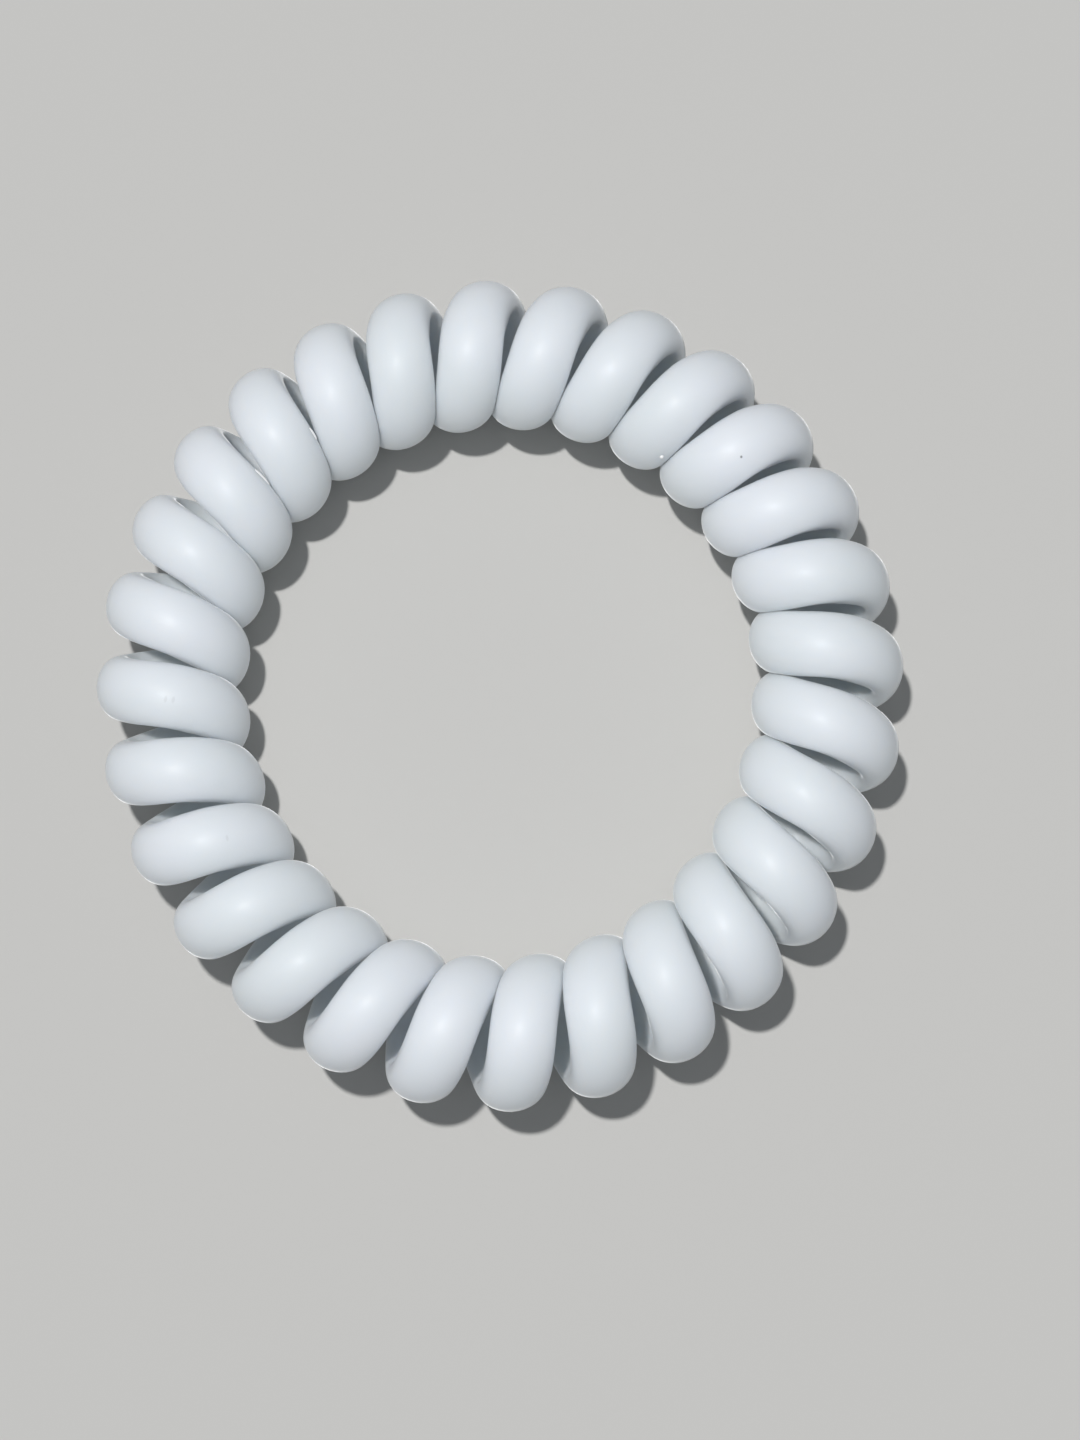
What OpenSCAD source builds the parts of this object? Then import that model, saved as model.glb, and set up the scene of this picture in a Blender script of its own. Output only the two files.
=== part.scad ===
// Spiral hair tie: a springy strand wound into a coil, with the coil bent round and closed into a ring.
// The strand's section is an oval, higher on the coil's outside than inside, and the coil is hollow.
// The ring lies flat on z = 0 with the middle of its box over the origin, and +Y along its longer way.

/* [Ring] */
// Mean size of the ring across its outside
ring_d = 54.52; // [52:0.02:60]
// Turns of the coil in the whole ring
turns = 28; // [24:1:30]

/* [Coil] */
// Outer diameter of the coil, which is the ring's thickness
coil_d = 9.92; // [9:0.02:11]
// Place of the first turn's start round the coil, in degrees from its outermost point
start_angle = -32.5; // [-180:0.5:180]
// Each turn stands slanted: how far its most forward place is shifted along the ring
slant = 0.14; // [0:0.01:0.2]
// Where that place is round the coil, in the same degrees as the start
slant_angle = 289; // [0:1:360]

/* [Strand] */
// Width of the strand along the coil
strand_w = 4.26; // [3.2:0.02:4.6]
// Height of its round outer side above its widest place
crown = 1.7; // [1.2:0.05:2.2]
// Depth of its flatter inner side below its widest place
belly = 0.8; // [0.2:0.05:1.6]
// Gap that stands for the contact where neighbouring turns press each other narrower
contact_gap = 0.06; // [0.05:0.01:0.15]

/* [Fused ends] */
// How far the joint of the strand's two ends stands out
joint_swell = 0.12; // [0:0.02:0.2]
// Turn that holds the joint
joint_turn = 20; // [1:1:24]
// Place of the joint round the coil: 180 is the inner side and 270 the underside
joint_angle = 300; // [260:5:320]
// Half length of the swelling, in degrees round the coil
joint_reach = 24; // [15:1:40]

/* [Hidden] */

ring_r = (ring_d - coil_d) / 2;
coil_r = coil_d / 2 - crown;

// The relaxed ring isn't a true circle. Columns: lobes round the ring, how far each lobe stands out,
// and the bearing of one of them, in degrees from +X
LOBES = [
  [2, 0.48, 92],
  [3, 0.12, 30],
  [4, 0.08, 2]
];
// Its turns lie closer in some places. Columns: waves round the ring, how far a wave moves a turn along
// the ring in degrees, and the bearing of its crest
CROWDING = [
  [1, 0.86, 350],
  [2, 0.58, 56],
  [3, 0.30, 1],
  [4, 0.08, 351]
];

// Corners of the strand's section, in degrees from its crown: close together round the outer side from
// edge to edge, and three on the inner side
CORNERS = [each [-90:22.5:90], each [135:45:225]];
sides = len(CORNERS);
rings_per_turn = 16;
rings = turns * rings_per_turn;
step = 360 / rings;
one_turn = 360 / turns;
joint_at = (360 * joint_turn + joint_angle - start_angle) / turns;

function unit(v) = v / norm(v);
function total(list) = list * [for (x = list) 1];

// A table's waves added up at an angle, and the slope of that sum for each radian
function waves(table, angle) = total([for (row = table) row[1] * cos(row[0] * (angle - row[2]))]);
function slope(table, angle) = total([for (row = table) -row[0] * row[1] * sin(row[0] * (angle - row[2]))]);

// The ring's middle line at a bearing, and the level directions that lead straight out of it and along it
function ring_point(bearing) = (ring_r + waves(LOBES, bearing)) * [cos(bearing), sin(bearing), 0];
function outward(bearing) =
  let (
    r = ring_r + waves(LOBES, bearing),
    dr = slope(LOBES, bearing)
  )
  unit([r * cos(bearing) + dr * sin(bearing), r * sin(bearing) - dr * cos(bearing), 0]);
function onward(bearing) = [-outward(bearing).y, outward(bearing).x, 0];

// Places along the strand are told by t, which goes from 0 to 360 once round the ring
function coil_angle(t) = turns * t + start_angle;
function bearing_at(t) = t + waves(CROWDING, t);
function from_coil_axis(t) = cos(coil_angle(t)) * outward(bearing_at(t)) + [0, 0, sin(coil_angle(t))];
function strand_point(t) =
  let (shift = slant * cos(coil_angle(t) - slant_angle))
  ring_point(bearing_at(t)) + coil_r * from_coil_axis(t) + shift * onward(bearing_at(t));
function strand_direction(t) = unit(strand_point(t + step / 8) - strand_point(t - step / 8));

// The strand swells where its ends are fused, and is pressed narrower where its neighbours leave less room
function swell(t) = joint_swell * exp(-pow(turns * (t - joint_at) / joint_reach, 2));
function distance_to(t, neighbour) = norm(cross(strand_point(neighbour) - strand_point(t), strand_direction(t)));
function half_width(t) =
  let (room = min(distance_to(t, t + one_turn), distance_to(t, t - one_turn)) - contact_gap)
  min(strand_w / 2 + swell(t), room / 2);

// One ring of corners round the strand: half an ellipse on the outer side and a flatter one inside
function section(t) =
  let (
    centre = strand_point(t),
    along = strand_direction(t),
    out = from_coil_axis(t),
    height = unit(out - (out * along) * along),
    width = cross(along, height)
  )
  [
    for (corner = CORNERS)
      let (rise = cos(corner) > 0 ? crown + swell(t) : belly)
        centre + rise * cos(corner) * height + half_width(t) * sin(corner) * width
  ];

skin = [for (i = [0:rings - 1]) each section(i * step)];
low = [for (axis = [0:2]) min([for (p = skin) p[axis]])];
high = [for (axis = [0:2]) max([for (p = skin) p[axis]])];

function corner_index(ring, side) = (ring % rings) * sides + side % sides;

// The strand, closed on itself, as one skin of triangles between neighbouring rings of corners
module coil() {
  color([0.87, 0.9, 0.92])
    translate([-(low.x + high.x) / 2, -(low.y + high.y) / 2, -low.z])
      polyhedron(
        points = skin,
        faces = [
          for (i = [0:rings - 1])
            for (k = [0:sides - 1])
              let (
                a = corner_index(i, k),
                b = corner_index(i, k + 1),
                c = corner_index(i + 1, k + 1),
                d = corner_index(i + 1, k)
              )
              each [[a, c, b], [a, d, c]]
        ]
      );
}

coil();
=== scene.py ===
# Spiral hair tie: the frosted strand's true surface and finish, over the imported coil, in metres
import math

import bmesh
import bpy
import numpy as np
from mathutils import Euler, Matrix, Vector


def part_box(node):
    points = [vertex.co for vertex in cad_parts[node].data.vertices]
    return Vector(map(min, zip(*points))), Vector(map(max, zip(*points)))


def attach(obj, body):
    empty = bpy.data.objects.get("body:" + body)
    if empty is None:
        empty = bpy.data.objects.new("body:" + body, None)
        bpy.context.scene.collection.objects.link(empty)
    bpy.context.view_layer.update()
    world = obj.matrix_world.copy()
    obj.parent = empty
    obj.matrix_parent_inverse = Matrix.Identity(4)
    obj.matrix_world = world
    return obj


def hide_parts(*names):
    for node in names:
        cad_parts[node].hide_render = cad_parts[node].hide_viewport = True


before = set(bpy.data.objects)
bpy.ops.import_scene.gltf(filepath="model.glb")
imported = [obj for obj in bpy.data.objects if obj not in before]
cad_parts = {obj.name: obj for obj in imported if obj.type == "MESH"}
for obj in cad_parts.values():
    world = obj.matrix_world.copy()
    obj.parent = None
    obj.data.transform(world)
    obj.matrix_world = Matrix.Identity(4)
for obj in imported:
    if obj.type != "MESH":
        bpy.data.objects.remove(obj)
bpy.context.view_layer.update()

mm = 0.001
scene = bpy.context.scene


class Wire:
    # An output of a node in a material or a lamp; sums and products of wires and numbers add Math nodes
    def __init__(self, tree, socket=None):
        self.tree = tree
        self.socket = socket

    def node(self, kind, settings=None, values=None, output=0):
        # Adds a node, sets its settings first, then the values or links of its sockets
        made = self.tree.nodes.new(kind)
        for name, value in (settings or {}).items():
            if name == "stops":
                fillRamp(made.color_ramp, value)
            else:
                setattr(made, name, value)
        setInputs(made, values or {})
        return Wire(self.tree, made.outputs[output])

    def maths(self, operation, *values):
        return self.node("ShaderNodeMath", {"operation": operation}, dict(enumerate(values)))

    def vectorMaths(self, operation, *others, output=0):
        values = dict(enumerate((self, *others)))
        return self.node("ShaderNodeVectorMath", {"operation": operation}, values, output)

    def __add__(self, other):
        return self.maths("ADD", self, other)

    __radd__ = __add__

    def __mul__(self, other):
        return self.maths("MULTIPLY", self, other)

    __rmul__ = __mul__

    def __sub__(self, other):
        return self.maths("SUBTRACT", self, other)


def setInputs(node, values):
    # A wire is linked to the socket of that name, and anything else becomes the socket's own value
    for name, value in values.items():
        if isinstance(value, Wire):
            value.tree.links.new(value.socket, node.inputs[name])
        else:
            node.inputs[name].default_value = value


def fillRamp(ramp, stops):
    # The ramp's first two stops are there already
    for place, (position, grey) in enumerate(stops):
        stop = ramp.elements[place] if place < 2 else ramp.elements.new(position)
        stop.position = position
        stop.color = (grey, grey, grey, 1)


def mixColours(share, first, second):
    # The first colour with a share of the second. The Mix node has its colours at sockets 6 and 7 and gives
    # the mixed one at output 2
    values = {"Factor": share, 6: first, 7: second}
    return share.node("ShaderNodeMix", {"data_type": "RGBA"}, values, output=2)


def fade(value, empty, full, share, interpolation="LINEAR"):
    # Grows from nothing at the wire's empty value to the given share at its full one
    limits = {"From Min": empty, "From Max": full, "To Min": 0.0, "To Max": share}
    return value.node("ShaderNodeMapRange", {"interpolation_type": interpolation}, {"Value": value, **limits})


def noise(position, scale, detail):
    # Noise from 0 to 1, about a half on average, with this many waves in a metre
    return position.node("ShaderNodeTexNoise", values={"Vector": position, "Scale": scale, "Detail": detail})


def newMaterial(name):
    # A new material and its Principled shader
    material = bpy.data.materials.new(name)
    material.use_nodes = True
    return material, material.node_tree.nodes["Principled BSDF"]


def plainMaterial(name, colour, roughness):
    # One even colour and roughness
    material, shader = newMaterial(name)
    setInputs(shader, {"Base Color": colour, "Roughness": roughness})
    return material


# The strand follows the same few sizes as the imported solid, here in millimetres and degrees
strand = {
    "turns": 28,
    "ringRadius": 22.3,  # of the coil's axis
    "coilRadius": 3.26,  # from that axis to the strand's own line
    "startAngle": -32.5,  # of the first turn, round the coil from its outermost place
    "slant": 0.14,  # shift of each turn's most forward place along the ring
    "slantAngle": 289,  # where that place is round the coil
    "lobes": [(2, 0.48, 92), (3, 0.12, 30), (4, 0.08, 2)],  # how many, how far out, bearing of one
    "crowding": [(1, 0.86, 350), (2, 0.58, 56), (3, 0.30, 1), (4, 0.08, 351)],  # waves, shift, crest
    "crown": 1.7,  # height of the round outer side above the strand's own line
    "belly": 0.8,  # depth of the flatter inner side below it
    "halfWidth": 2.15,  # of the section, before its corners are softened and its neighbours press on it
    "sideCorner": 69,  # angle from the crown where the round outer side ends in a soft corner
    "sideLean": 9,  # how far the flat side below that corner leans in
    "sideRounding": 0.08,  # how soft that corner is
    # The sides grow flat over this distance in from the coil's outermost and innermost places, in coil radii
    "roundReach": 0.9,
    "alongSteps": 84,  # rings of points in each turn
    "crownSteps": 12,  # points round the section from its crown to the side corner or the contact
    "bellySteps": 8,  # and on from there to the middle of its inner side
    "cornerCrowding": 1.6,  # above 1 these points lie closer together near that place
    "contactGap": 0.01,  # between the flats where neighbouring turns press on each other
    "contactRounding": 0.01,  # how soft the flats' edges are
    "contactSearch": (20, 100, 0.5),  # angles from the crown to look for a contact at: from, to, step
    "sharpFrom": 0.9,  # how much a flat has to be pressed, of 1, for a sharp edge
    "jointTurn": 20,  # the turn where the strand's two ends are fused
    "jointAngle": 300,  # round the coil: 180 is the inner side and 270 the underside
    "jointReach": 24,  # half length of the swelling there, in degrees round the coil
    "jointSwell": 0.12,
    "jointLine": 0.05,  # the thin ridge where the two ends met
    "jointLineReach": 5,
    "wander": [(31, 0.006, 40), (53, 0.005, 200), (87, 0.004, 310)],  # waves along, height, crest
    "map": "strandPlace",  # name of its UV map: place along the strand, and round its section
}


def waves(table, angle):
    # Sum of size * cos(count * (angle - crest)), angles in degrees
    return sum(size * np.cos(np.radians(count * (angle - crest))) for count, size, crest in table)


def slope(table, angle):
    # The same sum's slope for each radian
    return sum(-count * size * np.sin(np.radians(count * (angle - crest))) for count, size, crest in table)


def unit(vectors):
    # Each vector divided by its length
    return vectors / np.linalg.norm(vectors, axis=-1, keepdims=True)


def strandLine():
    # The strand's own line: a point on the ring's line, plus the coil radius turned round that line once for
    # each turn, and the slant. Gives the place along it in degrees, its points, the way out from the coil's
    # axis and the way across the strand
    s = strand
    count = s["turns"] * s["alongSteps"]
    place = np.arange(count) * 360 / count
    bearing = place + waves(s["crowding"], place)
    radius, radiusSlope = s["ringRadius"] + waves(s["lobes"], bearing), slope(s["lobes"], bearing)
    cosine, sine, level = np.cos(np.radians(bearing)), np.sin(np.radians(bearing)), np.zeros(count)
    outward = [radius * cosine + radiusSlope * sine, radius * sine - radiusSlope * cosine, level]
    outward = unit(np.stack(outward, 1))
    onward = np.stack([-outward[:, 1], outward[:, 0], level], 1)
    turned = np.radians(s["turns"] * place + s["startAngle"])[:, None]
    fromAxis = np.cos(turned) * outward + np.sin(turned) * np.array([0, 0, 1])
    shift = s["slant"] * np.cos(turned - math.radians(s["slantAngle"])) * onward
    line = np.stack([radius * cosine, radius * sine, level], 1) + s["coilRadius"] * fromAxis + shift
    along = unit(np.roll(line, -1, 0) - np.roll(line, 1, 0))
    height = unit(fromAxis - (fromAxis * along).sum(1)[:, None] * along)
    return place, line, height, np.cross(along, height)


def nearestTurn(line, steps, direction):
    # Vector from each point of the line to the closest point of the next or the previous turn
    window = direction * np.arange(steps // 2, steps * 3 // 2)
    index = (np.arange(len(line))[:, None] + window) % len(line)
    apart = line[index] - line[:, None]
    closest = np.linalg.norm(apart, axis=2).argmin(1)
    return apart[np.arange(len(line)), closest]


def softExcess(value, rounding):
    # What a number has above zero, with the corner at zero rounded off
    return 0.5 * (value + np.sqrt(value**2 + rounding**2))


def sectionOffsets(angles, swell, corner, height, width):
    # From the strand's own line to its skin, for angles round the section with the crown at zero: half an
    # ellipse above that line, a flatter one below it, and flat sides that lean in below the side corner
    s = strand
    half, crown = s["halfWidth"] + swell, s["crown"] + swell
    above = np.where(np.cos(angles) > 0, crown, s["belly"]) * np.cos(angles)
    across = half / np.sin(corner) * np.sin(angles)
    lean = math.tan(math.radians(s["sideLean"])) * (np.pi / 2 - corner) / math.radians(90 - s["sideCorner"])
    side = half + (above - crown * np.cos(corner)) * lean
    across = across - np.sign(across) * softExcess(abs(across) - side, s["sideRounding"])
    return across[..., None] * width[:, None] + above[..., None] * height[:, None]


def flatSideCorner(coilAngle):
    # Angle from the crown to the side corner. It goes smoothly from 90 degrees, a fully round section, at the
    # coil's outermost and innermost places to the full corner over its top and underside
    away = np.clip((1 - abs(np.cos(np.radians(coilAngle)))) / strand["roundReach"], 0, 1)
    flat = away**2 * (3 - 2 * away)
    return np.radians(90 - (90 - strand["sideCorner"]) * flat)[:, None]


def contactAngle(offsets, angles, towards, reach):
    # The angle where a section first meets the plane halfway to its neighbour. Where it never does, the angle
    # where it comes closest
    beyond = (offsets * towards[:, None]).sum(2) - reach
    rows = np.arange(len(beyond))
    met = np.maximum((beyond > 0).argmax(1), 1)
    before, after = beyond[rows, met - 1], beyond[rows, met]
    crossing = angles[met - 1] - (angles[met] - angles[met - 1]) * before / (after - before)
    return np.where((beyond > 0).any(1), crossing, angles[beyond.argmax(1)])


def sideAngles(corner):
    # Angles from the crown to the middle of the inner side, with one of them right at the corner of the flat
    # side or of the contact, and closer together near it
    s = strand
    outer = 1 - (1 - np.arange(s["crownSteps"]) / s["crownSteps"]) ** s["cornerCrowding"]
    inner = (np.arange(s["bellySteps"] + 1) / s["bellySteps"]) ** s["cornerCrowding"]
    return np.concatenate([outer * corner[:, None], corner[:, None] + inner * (np.pi - corner[:, None])], 1)


def strandSurface():
    # The section with the swelling and the ridge of the joint and a slow wander of thickness, pushed back to
    # the plane halfway to each neighbouring turn. Gives the skin's points, their place round the section, and
    # how far each is pressed by a neighbour and belongs to the joint
    s = strand
    place, line, height, width = strandLine()
    jointPlace = (360 * s["jointTurn"] + s["jointAngle"] - s["startAngle"]) / s["turns"]
    fromJoint = s["turns"] * (place - jointPlace)
    fused = np.exp(-((fromJoint / s["jointReach"]) ** 2))
    swell = s["jointLine"] * np.exp(-((fromJoint / s["jointLineReach"]) ** 2)) + waves(s["wander"], place)
    swell = (swell + s["jointSwell"] * fused)[:, None]
    sideCorner = flatSideCorner(s["turns"] * place + s["startAngle"])
    neighbours, corners = [], {}
    for direction in (1, -1):
        apart = nearestTurn(line, s["alongSteps"], direction)
        reach = (np.linalg.norm(apart, axis=1) - s["contactGap"])[:, None] / 2
        side = 1 if (apart * width).sum() > 0 else -1
        tried = side * np.radians(np.arange(*s["contactSearch"]))
        offsets = sectionOffsets(tried[None] + 0 * swell, swell, sideCorner, height, width)
        contact = abs(contactAngle(offsets, tried, unit(apart), reach))
        corners[side] = np.minimum(contact, sideCorner[:, 0])
        neighbours.append((unit(apart)[:, None], reach))
    angles = np.concatenate([sideAngles(corners[1]), 2 * np.pi - sideAngles(corners[-1])[:, -2:0:-1]], 1)
    offset = sectionOffsets(angles, swell, sideCorner, height, width)
    pressed = np.zeros(angles.shape)
    for towards, reach in neighbours:
        pushed = softExcess((offset * towards).sum(2) - reach, s["contactRounding"])
        offset = offset - pushed[..., None] * towards
        pressed = np.maximum(pressed, np.clip(pushed / s["contactRounding"], 0, 1))
    return line[:, None] + offset, angles / (2 * np.pi), pressed, fused[:, None] + 0 * angles


def gridMesh(name, points, around, attributes):
    # A grid that closes on itself both ways, as quads, with its place along and around as the UV map
    rows, columns = points.shape[:2]
    i, j = np.meshgrid(np.arange(rows), np.arange(columns), indexing="ij")
    nextI, nextJ = (i + 1) % rows, (j + 1) % columns
    faces = np.stack([i * columns + j, i * columns + nextJ, nextI * columns + nextJ, nextI * columns + j], 2)
    mesh = bpy.data.meshes.new(name)
    mesh.from_pydata(points.reshape(-1, 3), [], faces.reshape(-1, 4))
    around = np.concatenate([around, np.ones((rows, 1))], 1)
    alongPlaces = np.stack([i / rows, i / rows, (i + 1) / rows, (i + 1) / rows], 2)
    aroundPlaces = np.stack([around[i, j], around[i, j + 1], around[nextI, j + 1], around[nextI, j]], 2)
    places = np.stack([alongPlaces, aroundPlaces], 3).astype(np.float32)
    mesh.uv_layers.new(name=strand["map"]).data.foreach_set("uv", places.ravel())
    for title, values in attributes.items():
        attribute = mesh.attributes.new(title, "FLOAT", "POINT")
        attribute.data.foreach_set("value", values.astype(np.float32).ravel())
    mesh.shade_smooth()
    return mesh


def sharpenContacts(mesh, pressed):
    # The line where a turn's round side meets the flat that presses on its neighbour is a sharp edge
    columns = pressed.shape[1]
    ends = np.empty(len(mesh.edges) * 2, dtype=np.int32)
    mesh.edges.foreach_get("vertices", ends)
    row, column = np.divmod(ends.reshape(-1, 2), columns)
    sharp = np.zeros(len(row), dtype=bool)
    for corner, flat in ((strand["crownSteps"], 1), (columns - strand["crownSteps"], -1)):
        touching = pressed[:, corner + flat] > strand["sharpFrom"]
        sharp |= (column == corner).all(1) & touching[row].all(1)
    mesh.attributes.new("sharp_edge", "BOOLEAN", "EDGE").data.foreach_set("value", sharp)


def makeStrand():
    # The smooth strand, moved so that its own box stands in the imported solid's box
    points, around, pressed, fused = strandSurface()
    points = points * mm
    low, high = points.min((0, 1)), points.max((0, 1))
    cadLow, cadHigh = (np.array(corner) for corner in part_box("coil"))
    shift = (cadLow + cadHigh - low - high) / 2
    shift[2] = cadLow[2] - low[2]
    mesh = gridMesh("coiledStrand", points + shift, around, {"pressed": pressed, "fused": fused})
    sharpenContacts(mesh, pressed)
    piece = bpy.data.objects.new("coiled_strand", mesh)
    scene.collection.objects.link(piece)
    print("strand:", len(mesh.vertices), "points, box", low + shift, high + shift)
    return piece, points + shift, around, shift


def placeAlong(turn, coilAngle):
    # How far along the strand a place is, from 0 to 1
    return (turn + (coilAngle - strand["startAngle"]) / 360) / strand["turns"]


# Tiny white drops on the strand: a small round nib, and two drawn out where turns touch. Their white is a
# painted highlight that stands in for the glints on them
drops = {
    # Columns: turn, degrees round the coil and round the section, half length and radius in millimetres
    "places": [
        (4, 147.5, 315.5, 0.15, 0.15),
        (10, 117.5, 291, 0.5, 0.1),
        (11, 113, 291, 0.75, 0.1),
    ],
    "subdivisions": 3,
    # white lighter than the strand: a painted highlight for the glints
    "colour": (0.95, 0.95, 0.95, 1),
    "roughness": 0.25,
}


def makeGlintDrops(points, around):
    # Each drop is a stretched ball, half sunk in the strand and laid along it
    balls = bmesh.new()
    for turn, coilAngle, sectionAngle, halfLength, radius in drops["places"]:
        ring = round(placeAlong(turn, coilAngle) * len(points)) % len(points)
        column = abs(around[ring] - sectionAngle / 360).argmin()
        along = Vector(points[ring + 1, column] - points[ring - 1, column])
        turned = along.to_track_quat("X", "Z").to_matrix().to_4x4()
        sized = Matrix.Diagonal((halfLength * mm, radius * mm, radius * mm, 1))
        laid = Matrix.Translation(Vector(points[ring, column])) @ turned @ sized
        bmesh.ops.create_icosphere(balls, subdivisions=drops["subdivisions"], radius=1, matrix=laid)
    mesh = bpy.data.meshes.new("drops")
    balls.to_mesh(mesh)
    balls.free()
    mesh.shade_smooth()
    mesh.materials.append(plainMaterial("glintWhiteDrop", drops["colour"], drops["roughness"]))
    piece = bpy.data.objects.new("drops", mesh)
    scene.collection.objects.link(piece)
    print("drops:", len(drops["places"]))
    return piece


finish = {
    "milk": (0.82, 0.85, 0.895, 1),  # most of the strand
    "cloudAndShade": (0.76, 0.805, 0.82, 1),  # slow greenish-grey clouds in it, and painted shade on its lower parts
    "cloudScale": 90,
    "cloudDetail": 3,
    "cloudEdges": (0.38, 0.66),  # the noise where a cloud begins and where it is full
    "cloudDepth": 0.6,  # share of that colour in a full cloud
    "lowShadeDepth": 0.5,  # and as painted shade, greener and darker, at the underside
    "lowShadeBelow": 9 * mm,  # the height where that share begins
    "lowShadeFull": 2 * mm,
    "roughness": 0.55,
    "roughnessSpread": 0.10,  # how far it wanders with the wear
    "wearScale": 420,
    "wearDetail": 4,
    "polish": 0.14,  # how much smoother the strand is where turns rub on each other
    "melted": 0.2,  # and where its ends are fused
    "scatter": 1.0,
    "scatterReach": (1.05, 1.0, 0.95),
    "scatterScale": 1.3 * mm,
    "coat": 0.08,  # the satin skin that gives each turn its small soft highlight
    "coatRoughness": 0.3,
    "sheen": 0.8,  # frost that lightens the turns' edges
    "sheenRoughness": 0.2,
    "grainScale": 5200,
    "grainDetail": 2,
    "grainHeight": 0.004 * mm,
    # Small marks. Columns: turn, degrees round the coil and round the section, half length and half width in
    # millimetres, the mark's grey and how strongly it covers
    "marks": [
        (3, 99.7, 339, 0.10, 0.10, 0.18, 0.8),  # dust speck
        (14, 100, 10, 0.13, 0.26, 0.40, 0.17),  # two faint strokes across the strand
        (14, 105.5, 10, 0.13, 0.26, 0.40, 0.17),
        (16, 115, 10, 0.11, 0.24, 0.40, 0.16),  # nick
    ],
    "markEdges": (1.1, 0.4),  # where a mark begins and where it is full, in its own half sizes
}


def markedColour(start, colour):
    # An ellipse of grey for each mark, by its distance on the strand's own map: one turn along it is the
    # coil's outer round, one unit across it is the section's round
    s = strand
    alongSize = 2 * math.pi * (s["coilRadius"] + s["crown"]) * s["turns"]
    aroundSize = 2 * math.pi * s["halfWidth"]
    own = start.node("ShaderNodeUVMap", {"uv_map": s["map"]})
    for turn, coilAngle, sectionAngle, halfLength, halfWidth, grey, cover in finish["marks"]:
        centre = (placeAlong(turn, coilAngle), sectionAngle / 360, 0)
        scale = (alongSize / halfLength, aroundSize / halfWidth, 0)
        scaled = own.vectorMaths("SUBTRACT", centre).vectorMaths("MULTIPLY", scale)
        reach = scaled.vectorMaths("LENGTH", output="Value")
        inside = fade(reach, *finish["markEdges"], cover, "SMOOTHSTEP")
        colour = mixColours(inside, colour, (grey, grey, grey, 1))
    return colour


def frostedStrand():
    # Milky plastic that lets light in a little: slow clouds of colour, painted shade greener and darker
    # towards its underside, fine frost, and smoother places where turns rub and where the ends are fused
    f = finish
    material, shader = newMaterial("frostedStrand")
    start = Wire(material.node_tree)
    position = start.node("ShaderNodeTexCoord", output="Object")
    clouds = noise(position, f["cloudScale"], f["cloudDetail"])
    cloudStops = [(f["cloudEdges"][0], 0), (f["cloudEdges"][1], 1)]
    cloudiness = start.node("ShaderNodeValToRGB", {"stops": cloudStops}, {"Fac": clouds})
    height = start.node("ShaderNodeSeparateXYZ", values={"Vector": position}, output="Z")
    # painted shade: the strand turns greener and darker towards its underside, by height
    paintedLowShade = fade(height, f["lowShadeBelow"], f["lowShadeFull"], f["lowShadeDepth"])
    colour = mixColours(f["cloudDepth"] * cloudiness + paintedLowShade, f["milk"], f["cloudAndShade"])
    colour = markedColour(start, colour)
    pressed = start.node("ShaderNodeAttribute", {"attribute_name": "pressed"}, output="Fac")
    wear = noise(position, f["wearScale"], f["wearDetail"])
    fused = start.node("ShaderNodeAttribute", {"attribute_name": "fused"}, output="Fac")
    smoother = f["polish"] * pressed + f["melted"] * fused
    roughness = f["roughness"] + f["roughnessSpread"] * (wear - 0.5) - smoother
    grain = noise(position, f["grainScale"], f["grainDetail"])
    frost = {"Strength": 1.0, "Distance": f["grainHeight"], "Height": grain}
    bump = start.node("ShaderNodeBump", values=frost)
    surface = {"Base Color": colour, "Roughness": roughness, "Normal": bump}
    inside = {
        "Subsurface Weight": f["scatter"],
        "Subsurface Radius": f["scatterReach"],
        "Subsurface Scale": f["scatterScale"],
    }
    skin = {
        "Coat Weight": f["coat"],
        "Coat Roughness": f["coatRoughness"],
        "Sheen Weight": f["sheen"],
        "Sheen Roughness": f["sheenRoughness"],
    }
    setInputs(shader, {**surface, **inside, **skin})
    print("frosted material:", len(material.node_tree.nodes), "nodes")
    return material


stage = {
    "floorSize": 3.0,
    "floorColour": (0.58, 0.57, 0.55, 1),
    "floorRoughness": 0.9,
    "skyColour": (0.88, 0.94, 1.0, 1),
    "skyStrength": 0.23,
    "ringLamp": (-22, 8, 150),  # millimetres from the ring's place on the floor
    "floorLamp": (-21, 33, 165),
    "lampRadius": 4,
    # Watts that the ring's lamp sends on a square metre that faces it, and the floor's on one of the floor
    "lampLight": 2.34,
}


def makeFloor():
    # A flat square at the height that the ring rests on
    half = stage["floorSize"] / 2
    corners = [(-half, -half, 0), (half, -half, 0), (half, half, 0), (-half, half, 0)]
    mesh = bpy.data.meshes.new("floor")
    mesh.from_pydata(corners, [], [(0, 1, 2, 3)])
    floor = bpy.data.objects.new("floor", mesh)
    scene.collection.objects.link(floor)
    mesh.materials.append(plainMaterial("paleFloor", stage["floorColour"], stage["floorRoughness"]))
    print("floor made")
    return floor


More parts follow.
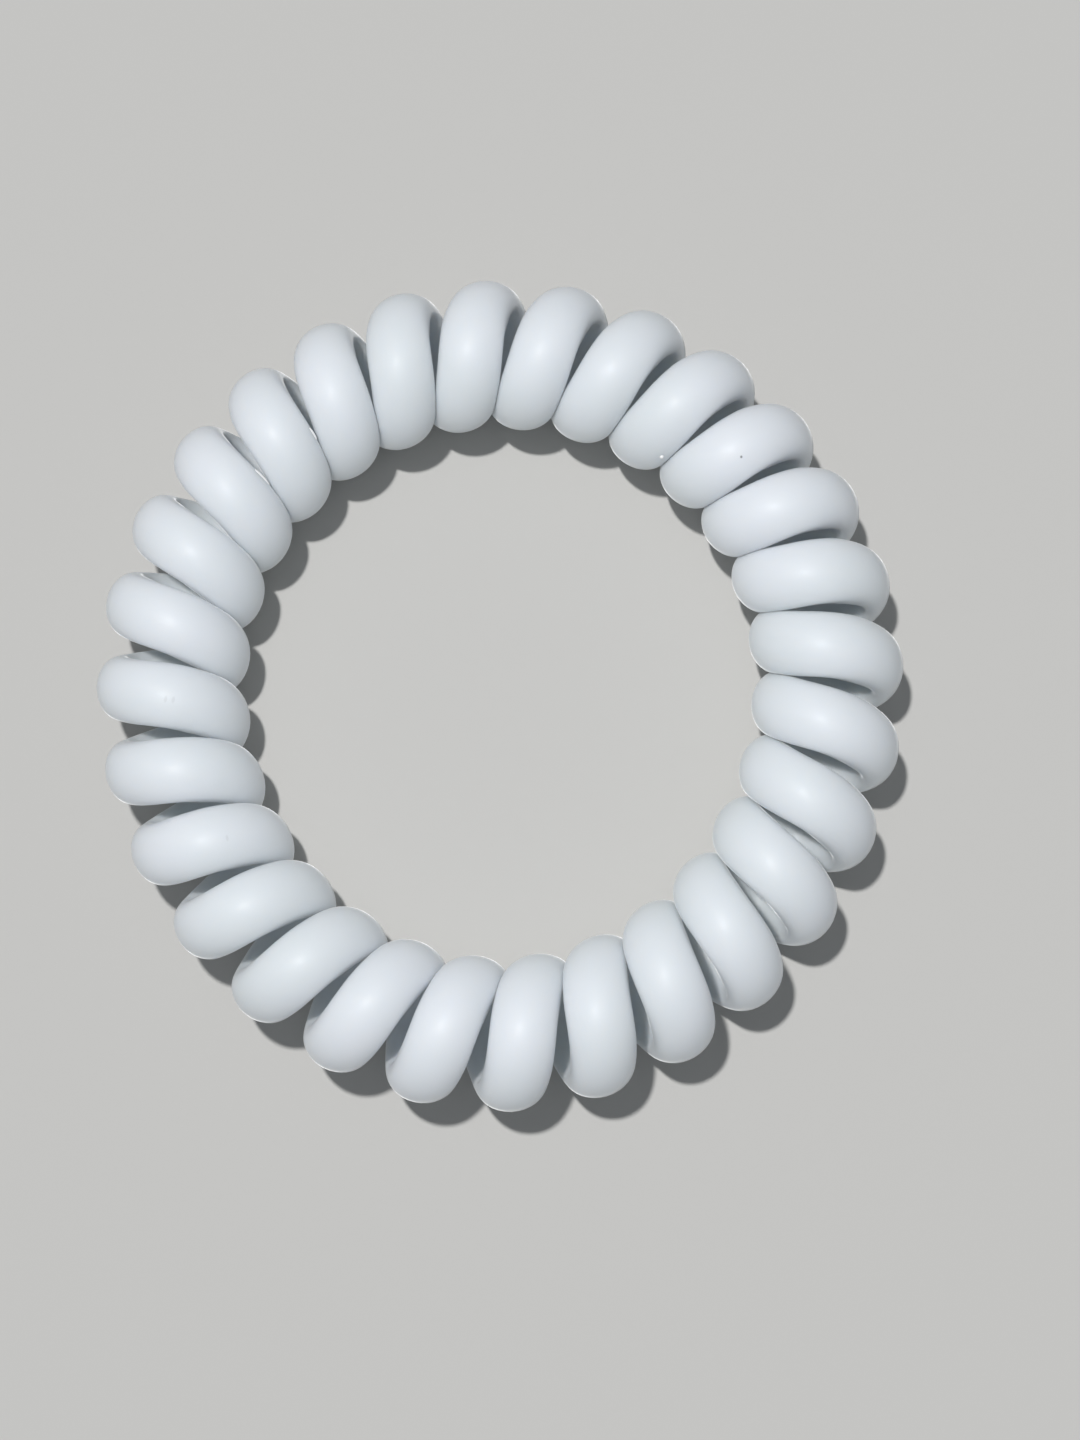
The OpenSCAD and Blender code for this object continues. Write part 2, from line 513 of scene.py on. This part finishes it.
def makeLamp(name, lit, spread):
    # A near lamp for the named objects alone. Its light doesn't fade with distance, and where it is spread it
    # even grows with it, so that a level floor gets the same light everywhere
    place = stage[name]
    lamp = bpy.data.lights.new(name, "POINT")
    lamp.energy = stage["lampLight"] * 4 * math.pi
    lamp.shadow_soft_size = stage["lampRadius"] * mm
    lamp.use_nodes = True
    start = Wire(lamp.node_tree)
    strength = start.node("ShaderNodeLightFalloff", values={"Strength": 1.0}, output="Constant")
    if spread:
        strength = strength * (start.node("ShaderNodeLightPath", output="Ray Length") * (1 / (place[2] * mm)))
    setInputs(lamp.node_tree.nodes["Emission"], {"Strength": strength})
    key = bpy.data.objects.new(name, lamp)
    key.location = Vector(place) * mm
    scene.collection.objects.link(key)
    key.light_linking.receiver_collection = bpy.data.collections.new(name)
    for piece in lit:
        key.light_linking.receiver_collection.objects.link(piece)


def makeLights(ringPieces, floorPieces):
    # An even pale sky that fills the shadows, a key lamp for the ring, and one for the floor that stands a
    # little higher and further on
    world = bpy.data.worlds.new("studio")
    world.use_nodes = True
    sky = {"Color": stage["skyColour"], "Strength": stage["skyStrength"]}
    setInputs(world.node_tree.nodes["Background"], sky)
    scene.world = world
    makeLamp("ringLamp", ringPieces, False)
    makeLamp("floorLamp", floorPieces, True)
    print("sky and lamps made")


photoCamera = {
    "tiltBack": 6.30,  # degrees that the view leans from straight down, towards +Y
    "tiltLeft": 1.46,  # and towards -X
    "standOff": 100.37,  # millimetres from the ring's middle plane, along the view
    "aside": (2.77, -2.38),  # millimetres that the camera stands right of and above the ring's middle
    "lens": 37.5,
    "sensorWidth": 36,  # along the picture's longer side
    "nearest": 1,  # millimetres
}


def makeCamera(ringCentre):
    # The camera stands off along its own view direction from the ring's middle
    c = photoCamera
    data = bpy.data.cameras.new("photoCamera")
    data.lens = c["lens"]
    data.sensor_width = c["sensorWidth"]
    data.clip_start = c["nearest"] * mm
    turn = Euler((math.radians(c["tiltBack"]), math.radians(c["tiltLeft"]), 0))
    place = Vector((c["aside"][0], c["aside"][1], c["standOff"])) * mm
    place.rotate(turn)
    camera = bpy.data.objects.new("photoCamera", data)
    camera.rotation_euler = turn
    camera.location = Vector(ringCentre) + place
    scene.collection.objects.link(camera)
    scene.camera = camera
    print("camera at", list(camera.location))


strandPiece, skinPoints, aroundPlaces, ringCentre = makeStrand()
glintDropPiece = makeGlintDrops(skinPoints, aroundPlaces)
makeCamera(ringCentre)
strandPiece.data.materials.append(frostedStrand())
for piece in (strandPiece, glintDropPiece):
    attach(piece, "root")
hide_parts("coil")
makeLights([strandPiece, glintDropPiece], [makeFloor()])
scene.view_settings.view_transform = "Standard"
